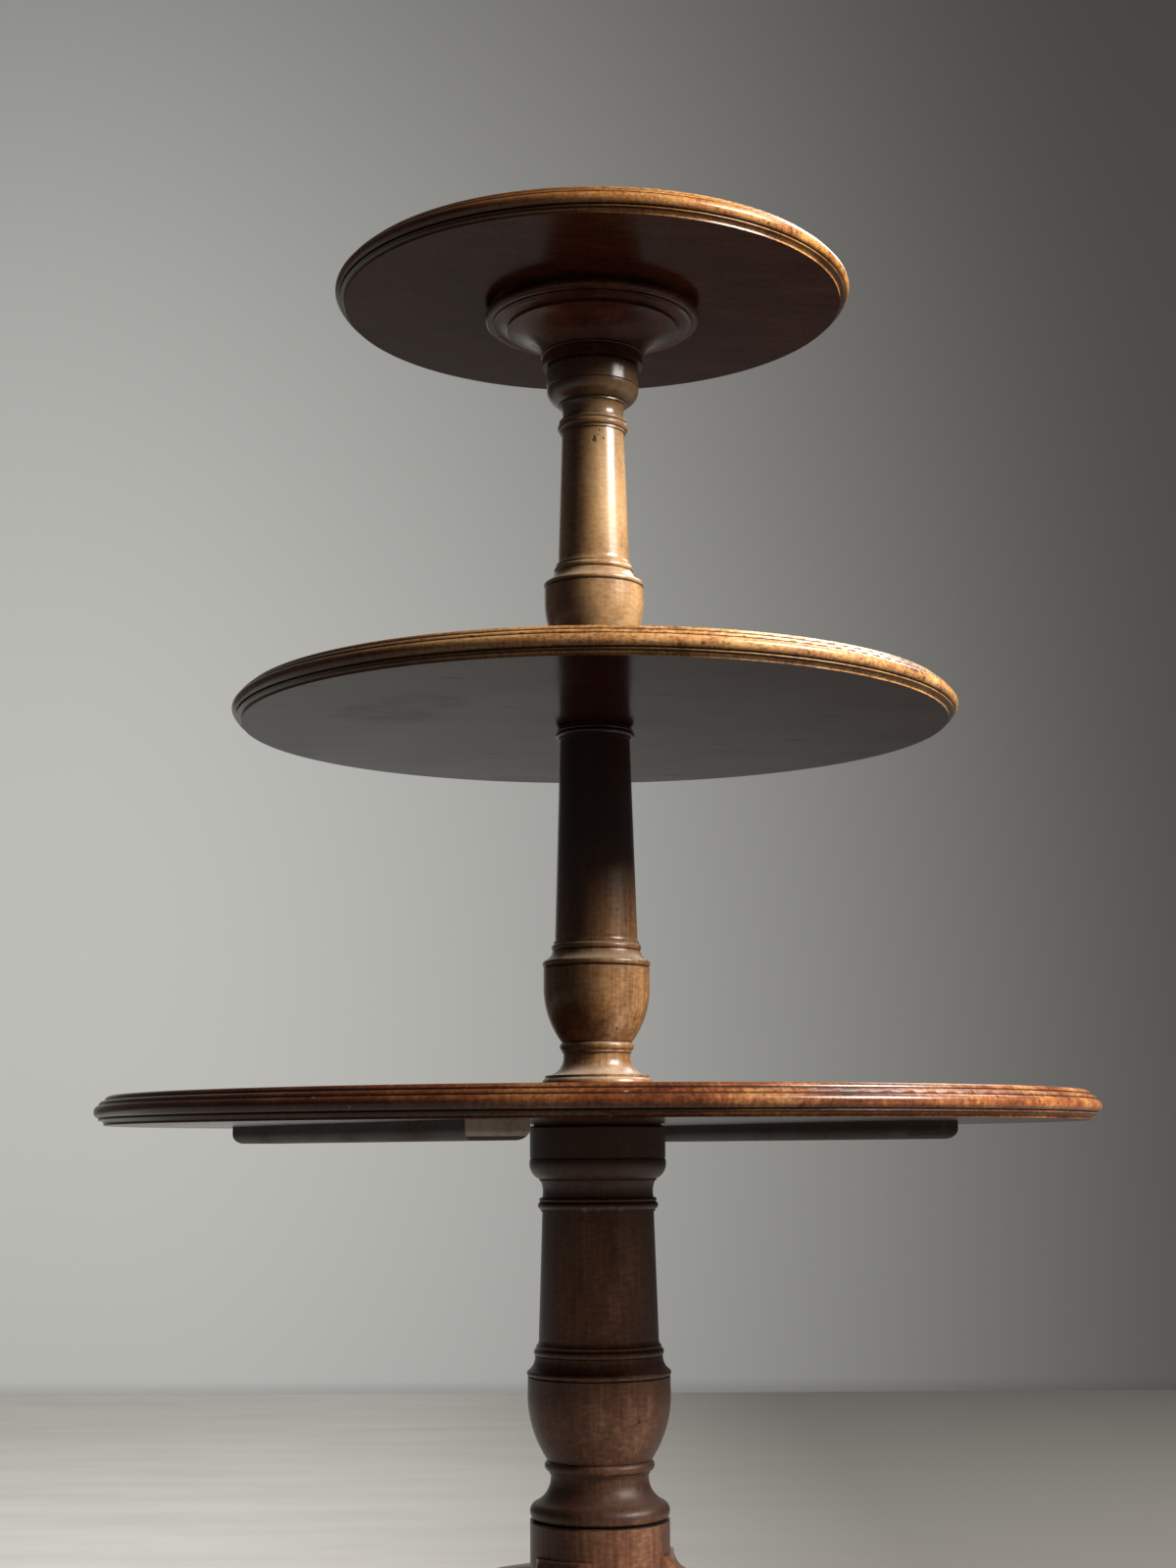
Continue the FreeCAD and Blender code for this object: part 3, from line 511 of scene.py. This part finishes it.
def lay_painted_shade_dust_and_top_light(wood, painted_side_shade, painted_flank_shade, dust_and_top_light):
    """Painted shade on the left side and on the flanks and back of a turned piece, and pale dust and painted
    top light on what looks up.
    """
    # Painted shade on the left side, away from the key light
    wood.lay(wood.rise(wood.split()["X"], *SHADED_SIDE_X, 1.0, 0.0), PAINTED_SHADE_COLOUR, painted_side_shade)
    # Painted shade on the flanks and back, not on the front
    wood.lay(wood.rise(wood.split()["Y"], *SHADED_FLANKS_Y), PAINTED_SHADE_COLOUR, painted_flank_shade)
    # Pale dust and painted top light on faces that look up
    level = wood.rise(wood.facing_up(), *DUST_AND_TOP_LIGHT_SLOPE)
    patchy = wood.rise(wood.cloud, *DUST_AND_TOP_LIGHT_CLOUD_STEP)
    wood.lay(wood.calc("MULTIPLY", level, patchy), DUST_AND_TOP_LIGHT_COLOUR, dust_and_top_light)


def lay_wear(wood, pale_wear_and_glint, height_shade, chips):
    """Rubbed edges and chips, pale and partly painted highlights on the edges, with painted shade by height
    between them.
    """
    chafe = wood.rise(wood.grain(CHAFE, UPRIGHT), *CHAFE_STEP)
    # Pale rubbed edges, which also paint highlights on the edges
    wood.lay(wood.calc("MULTIPLY", wood.edge(TURNED_EDGE), chafe), SCUFF_AND_GLINT_COLOUR, pale_wear_and_glint)
    if height_shade:
        # Painted shade by height, darkest under the trays
        wood.lay(wood.by_height(height_shade), PAINTED_SHADE_COLOUR)
    wood.lay(wood.calc("MULTIPLY", wood.spots(chips), chafe), SCUFF_AND_GLINT_COLOUR, pale_wear_and_glint)


def turned_wood(name, tones, streaks, gloss, polish, pale_wear_and_glint, height_shade=(), painted_side_shade=0.0, painted_flank_shade=0.0, dust_and_top_light=0.0,
                pits=(), chips=(), coat_ior=1.5):
    """Polished turned wood with dirt in its grooves and rubbed edges, and painted shade in its wide hollows,
    on its left side, on its flanks and back and down from the trays; the share of pale edges sets pale rubbed
    edges and chips, which also paint highlights on the edges.
    """
    wood = Wood(name, UPRIGHT, tones, streaks)
    lay_painted_shade_dust_and_top_light(wood, painted_side_shade, painted_flank_shade, dust_and_top_light)
    lines = wood.lathe_lines()
    wood.lay(wood.rise(lines, *LINE_STEP), wood.deep, LINE_SHARE)
    # Painted shade in the wide hollows
    wood.lay(wood.hollow(WIDE_SHADED_HOLLOW), PAINTED_SHADE_COLOUR, WIDE_HOLLOW_SHADE_SHARE)
    lay_wear(wood, pale_wear_and_glint, height_shade, chips)
    wood.lay(wood.hollow(GROOVE), DIRT_COLOUR, DIRT_SHARE)
    nick = wood.calc("MAXIMUM", wood.marks(TURNED_NICKS, UPRIGHT), wood.spots(pits))
    wood.lay(nick, DIRT_COLOUR, TURNED_NICK_SHARE)
    sheen = wood.rise(wood.cloud, *SHEEN_STEP)
    shine = wood.total(gloss, (sheen, lines, wood.pore), TURNED_DULL)
    normal = wood.relief((wood.cloud, lines, wood.pore, nick), TURNED_DEPTHS)
    return wood.finished(Roughness=shine, Normal=normal, Specular_IOR_Level=0.2, Coat_Weight=0.8,
                         Coat_Roughness=polish, Coat_IOR=coat_ior)


def under_wood(name, angle, tones):
    """Dark old polish under a tray: a soft mirror with smudges, dull patches, scratches, nicks and pale
    specks that paint glints.
    """
    turn = grain_of(angle)
    wood = Wood(name, turn, tones, UNDER_STREAKS)
    smudge = wood.grain(SMUDGE, turn)
    grit = wood.rise(wood.grain(GRIT, turn), *GRIT_STEP)
    dull = wood.calc("MULTIPLY", wood.spots(UNDER_PATCHES), grit)
    scratch = wood.marks(UNDER_SCRATCHES, grain_of(angle + UNDER_SCRATCH_ANGLE))
    mark = wood.calc("MAXIMUM", wood.marks(UNDER_NICKS, turn), scratch)
    wood.lay(mark, DIRT_COLOUR, UNDER_MARK_SHARE)
    # Pale specks that paint glints of light on dents
    glint_speck = wood.marks(UNDER_GLINT_SPECKS, turn)
    wood.lay(glint_speck, SCUFF_AND_GLINT_COLOUR, CHIP_SHARE)
    shine = wood.total(UNDER_GLOSS, (smudge, dull, mark, glint_speck), UNDER_DULL)
    normal = wood.relief((wood.cloud, mark), UNDER_DEPTHS)
    return wood.finished(Roughness=shine, Normal=normal, IOR=1.13)


def rim_wood(name, angle, tones, light_falloff, bottom):
    """Moulded rim with painted shade on its left side: fine lines along it, dirt in the quirks, nicks and
    pale chips.
    """
    turn = grain_of(angle)
    wood = Wood(name, turn, tones, RIM_STREAKS)
    # Painted shade over the rim's left side, pale at its right
    wood.lay(wood.rise(wood.split()["X"], *light_falloff, 1.0, 0.0), wood.deep, RIM_SHADE_SHARE)
    fleck = wood.rise(wood.grain(FLECK, grain_of(angle + FLECK_ANGLE)), *FLECK_STEP)
    wood.lay(fleck, wood.deep, FLECK_SHARE)
    lines = wood.lathe_lines()
    wood.lay(wood.rise(lines, *RIM_LINE_STEP), wood.deep, RIM_LINE_SHARE)
    blotch = wood.rise(wood.grain(BLOTCH, turn), *BLOTCH_STEP)
    wood.lay(blotch, wood.deep, BLOTCH_SHARE)
    chip = wood.marks(RIM_CHIPS, turn)
    wood.lay(chip, SCUFF_AND_GLINT_COLOUR, CHIP_SHARE)
    dirt = wood.calc("MAXIMUM", wood.hollow(RIM_QUIRK), wood.dirt_lines(bottom))
    wood.lay(dirt, DIRT_COLOUR, DIRT_SHARE)
    nick = wood.marks(RIM_NICKS, turn)
    wood.lay(nick, DIRT_COLOUR, FLAT_NICK_SHARE)
    shine = wood.total(RIM_GLOSS, (wood.cloud, lines, blotch), RIM_DULL)
    normal = wood.relief((wood.cloud, lines, blotch, nick, chip), RIM_DEPTHS)
    return wood.finished(Roughness=shine, Normal=normal, Specular_IOR_Level=0.15, Coat_Weight=0.4,
                         Coat_Roughness=0.2)


def board_wood(name, angle):
    """Red-brown polished top of a tray with long grain and fine scratches."""
    turn = grain_of(angle)
    wood = Wood(name, turn, BOARD_TONES, BOARD_STREAKS)
    smudge = wood.grain(BOARD_SMUDGE, turn)
    scratch = wood.marks(BOARD_SCRATCHES, grain_of(angle + BOARD_SCRATCH_ANGLE))
    wood.lay(scratch, SCUFF_AND_GLINT_COLOUR, BOARD_SCRATCH_SHARE)
    nick = wood.marks(BOARD_NICKS, turn)
    wood.lay(nick, DIRT_COLOUR, FLAT_NICK_SHARE)
    shine = wood.total(BOARD_GLOSS, (smudge, wood.pore, scratch), BOARD_DULL)
    normal = wood.relief((wood.cloud, wood.pore, nick, scratch), BOARD_DEPTHS)
    return wood.finished(Roughness=shine, Normal=normal, Coat_Weight=0.35, Coat_Roughness=0.15)


def sawn_wood(name, turn, tones, streaks, gloss, coat):
    """Wood worked with saw, rasp and scraper: legs and battens."""
    wood = Wood(name, turn, tones, streaks)
    rubbed = wood.calc("MULTIPLY", wood.edge(SAWN_EDGE), wood.rise(wood.cloud, *SAWN_RUB_STEP))
    wood.lay(rubbed, wood.gold, SAWN_RUB_SHARE)
    wood.lay(wood.hollow(SAWN_CORNER), DIRT_COLOUR, SAWN_DIRT_SHARE)
    nick = wood.marks(SAWN_NICKS, turn)
    wood.lay(nick, DIRT_COLOUR, SAWN_NICK_SHARE)
    wood.lay(wood.marks(SAWN_SCRATCHES, turn), SCUFF_AND_GLINT_COLOUR, SAWN_SCRATCH_SHARE)
    sheen = wood.rise(wood.cloud, *SHEEN_STEP)
    shine = wood.total(gloss, (sheen, wood.pore), SAWN_DULL)
    normal = wood.relief((wood.cloud, wood.fibre, wood.pore, nick), SAWN_DEPTHS)
    return wood.finished(Roughness=shine, Normal=normal, Coat_Weight=coat, Coat_Roughness=0.18)


# Leather and metal


def new_finish(name):
    return Finish(bpy.data.materials.new(name))


def leather(name):
    """Dark pressed leather with a pebbled grain."""
    finish = new_finish(name)
    inputs = {"Vector": finish.along(UPRIGHT, 1.0), "Scale": PEBBLES_PER_MM}
    pebble = finish.node("ShaderNodeTexVoronoi", inputs).outputs["Distance"]
    colour = finish.ramp(pebble, LEATHER_TONES)
    shine = finish.rise(pebble, *PEBBLE_SHINE)
    normal = finish.relief((pebble,), (PEBBLE_DEPTH,))
    return finish.surface(Base_Color=colour, Roughness=shine, Normal=normal)


def old_metal(name, bright, rust, rust_share):
    """Worn metal with brown rust in patches and fine scratches."""
    finish = new_finish(name)
    cloud = finish.grain(RUST, UPRIGHT)
    rusty = finish.rise(cloud, *(limit - rust_share for limit in RUST_STEP))
    scratch = finish.rise(finish.grain(BRUSHING, grain_of(BRUSHING_ANGLE)), *BRUSHING_STEP)
    colour = finish.mix(rusty, finish.mix(scratch, bright, rust, BRUSHING_SHARE), rust)
    shine = finish.rise(cloud, *METAL_SHINE)
    metal = finish.calc("SUBTRACT", 1.0, finish.calc("MULTIPLY", rusty, RUST_COVER))
    normal = finish.relief((finish.grain(METAL_PITS, UPRIGHT),), (METAL_PIT_DEPTH,))
    return finish.surface(Base_Color=colour, Roughness=shine, Metallic=metal, Normal=normal)


# Stage


def fade_across(finish, ends, tilt):
    """1 at the left, falling softly to 0 at the right."""
    spot = finish.split()
    across = finish.calc("MULTIPLY_ADD", spot["Z"], tilt, spot["X"])
    return finish.rise(across, *ends, 1.0, 0.0)


def pale_floor(name):
    """Pale floor that fades to the right and the back, and lights the object only from close by."""
    finish = new_finish(name)
    depth = finish.split()["Y"]
    near = finish.rise(depth, FLOOR_NEAR_Y, FLOOR_FAR_Y, FLOOR_NEAR_GLOW, FLOOR_FAR_GLOW)
    near = finish.calc("MULTIPLY", near, finish.rise(depth, *FLOOR_FRONT_Y, FLOOR_FRONT_SHARE, 1.0))
    cloud = finish.rise(finish.grain(FLOOR_CLOUD, grain_of(0.0)), *FLOOR_CLOUD_STEP)
    light_falloff = finish.calc("MAXIMUM", fade_across(finish, FLOOR_FADE, 0.0), FLOOR_DIM)
    level = finish.calc("MULTIPLY", finish.calc("MULTIPLY", near, cloud), light_falloff)
    seen = finish.seen()
    far = finish.node("ShaderNodeVectorMath", {0: finish.place}, operation="LENGTH").outputs["Value"]
    bounce = finish.mix(finish.rise(far, *BOUNCE_REACH), *FLOOR_BOUNCE)
    return finish.surface(Base_Color=finish.mix(seen, bounce, FLOOR_COLOUR), Roughness=0.6,
                          Emission_Color=FLOOR_TINT, Emission_Strength=finish.calc("MULTIPLY", level, seen))


def grey_wall(name):
    """Grey wall with a soft glow that fades to the right, the top and the far left."""
    finish = new_finish(name)
    height = finish.split()["Z"]
    lift = finish.calc("DIVIDE", finish.calc("SUBTRACT", height, GLOW_HEIGHT), GLOW_REACH)
    glow = finish.calc("EXPONENT", finish.calc("MULTIPLY", lift, finish.calc("MULTIPLY", lift, -1.0)))
    glow = finish.calc("MULTIPLY", glow, fade_across(finish, WALL_FADE, FADE_TILT))
    far_left = finish.rise(finish.split()["X"], *WALL_FAR_LEFT, WALL_FAR_LEFT_SHARE, 1.0)
    glow = finish.calc("MULTIPLY", glow, far_left)
    level = finish.calc("MULTIPLY_ADD", glow, WALL_GLOW, WALL_DIM)
    # Painted shadow along the foot of the wall
    level = finish.calc("MULTIPLY", level, finish.rise(height, 0.0, WALL_FOOT_SHADE_H, WALL_FOOT_SHADE_SHARE, 1.0))
    return finish.surface(Base_Color=WALL_COLOUR, Roughness=0.9, Emission_Color=WALL_TINT,
                          Emission_Strength=finish.calc("MULTIPLY", level, finish.seen()))


def sheet_of(name, corners, material):
    """A flat four-cornered sheet of the stage."""
    mesh = bpy.data.meshes.new(name)
    mesh.from_pydata(corners, [], [tuple(range(len(corners)))])
    sheet = bpy.data.objects.new(name, mesh)
    bpy.context.scene.collection.objects.link(sheet)
    mesh.materials.append(material)


def make_stage():
    half = FLOOR_SIZE / 2
    floor = [(-half, -half, 0), (half, -half, 0), (half, half, 0), (-half, half, 0)]
    wall = [(-half, WALL_Y, 0), (half, WALL_Y, 0), (half, WALL_Y, WALL_H), (-half, WALL_Y, WALL_H)]
    sheet_of("floor", floor, pale_floor("pale_floor"))
    sheet_of("wall", wall, grey_wall("grey_wall"))


def make_world():
    """A dim even room that the camera and reflections see a little lighter."""
    world = bpy.data.worlds.new("room")
    bpy.context.scene.world = world
    room = Finish(world)
    level = room.rise(room.seen(), 0.0, 1.0, AMBIENT, SKY_GREY)
    room.feed(room.nodes["Background"].inputs["Color"], (1.0, 1.0, 1.0, 1.0))
    room.feed(room.nodes["Background"].inputs["Strength"], level)


def make_light(name, azimuth, elevation, distance, size, power, colour, mirrored):
    """A soft rectangular light that faces the middle of the object."""
    turn = math.radians(azimuth)
    lift = math.radians(elevation)
    way = Vector((math.sin(turn) * math.cos(lift), -math.cos(turn) * math.cos(lift), math.sin(lift)))
    lamp = bpy.data.lights.new(name, "AREA")
    lamp.shape = "RECTANGLE"
    lamp.size, lamp.size_y = size
    lamp.energy = power
    lamp.color = colour
    light = bpy.data.objects.new(name, lamp)
    light.location = Vector((0, 0, LIT_HEIGHT)) + way * distance
    light.rotation_euler = (-way).to_track_quat("-Z", "Y").to_euler()
    light.visible_camera = False
    light.visible_glossy = mirrored
    bpy.context.scene.collection.objects.link(light)


def make_camera():
    lens = bpy.data.cameras.new("camera")
    lens.lens = CAMERA_LENS
    lens.sensor_width = CAMERA_SENSOR
    camera = bpy.data.objects.new("camera", lens)
    camera.location = CAMERA_PLACE
    aim = Euler((math.radians(90.0 + CAMERA_PITCH), 0, math.radians(CAMERA_YAW))).to_matrix()
    roll = Euler((0, 0, math.radians(CAMERA_ROLL))).to_matrix()
    camera.rotation_euler = (aim @ roll).to_euler()
    bpy.context.scene.collection.objects.link(camera)
    bpy.context.scene.camera = camera


# Dressing


def dress(material, *names):
    """Gives some pieces one finish."""
    for name in names:
        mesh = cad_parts[name].data
        mesh.materials.clear()
        mesh.materials.append(material)


def dress_tray(name, angle, rim_tones, under_tones, light_falloff):
    """Gives a tray's flat underside, its flat top and its moulded rim a finish each."""
    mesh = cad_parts[name].data
    low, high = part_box(name)
    # Span of the painted shade across the rim, from dark at the left to pale at the right, in metres
    rim_light_falloff = [share * high.x for share in light_falloff]
    mesh.materials.clear()
    mesh.materials.append(rim_wood(name + "_rim", angle, rim_tones, rim_light_falloff, low.z))
    mesh.materials.append(under_wood(name + "_under", angle, under_tones))
    mesh.materials.append(board_wood(name + "_board", angle))
    for face in mesh.polygons:
        if face.normal.z < -FLAT and face.center.z < low.z + SKIN:
            face.material_index = 1
        elif face.normal.z > FLAT and face.center.z > high.z - SKIN:
            face.material_index = 2


def dress_batten(name, end_tones):
    """Gives a batten's sides and its sawn ends a finish each."""
    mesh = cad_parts[name].data
    turn = grain_of(90.0 + BATTEN_ANGLE)
    lengthwise = Euler(turn).to_matrix() @ Vector((0, 0, 1))
    side = sawn_wood(name + "_side", turn, BATTEN_TONES, streaks=0.4, gloss=0.55, coat=0.0)
    end = sawn_wood(name + "_end", UPRIGHT, end_tones, streaks=0.1, gloss=0.7, coat=0.0)
    mesh.materials.clear()
    mesh.materials.append(side)
    mesh.materials.append(end)
    for face in mesh.polygons:
        face.material_index = int(abs(face.normal.dot(lengthwise)) > END_FACING)


def dress_all():
    for name, settings in TURNED.items():
        dress(turned_wood(**settings), name)
    for name, settings in TRAYS.items():
        dress_tray(name, **settings)
    for name, angle in LEG_ANGLE.items():
        turn = grain_of(angle, LEG_SLOPE)
        dress(sawn_wood(name + "_wood", turn, LEG_TONES, streaks=0.35, gloss=0.3, coat=0.4), name)
    for name, tones in END_TONES_WITH_PAINTED_LIGHT.items():
        dress_batten(name, tones)
    iron = old_metal("plate_iron", bright=(0.16, 0.15, 0.14), rust=(0.075, 0.036, 0.02), rust_share=0.08)
    steel = old_metal("screw_steel", bright=(0.38, 0.36, 0.33), rust=(0.10, 0.055, 0.03), rust_share=0.0)
    dress(leather("washer_leather"), *WASHERS)
    dress(iron, "base_plate")
    dress(steel, *SCREWS)


dress_all()
make_stage()
make_world()
for light_name, light_settings in LIGHTS.items():
    make_light(light_name, **light_settings)
make_camera()
bpy.context.scene.view_settings.view_transform = "Standard"
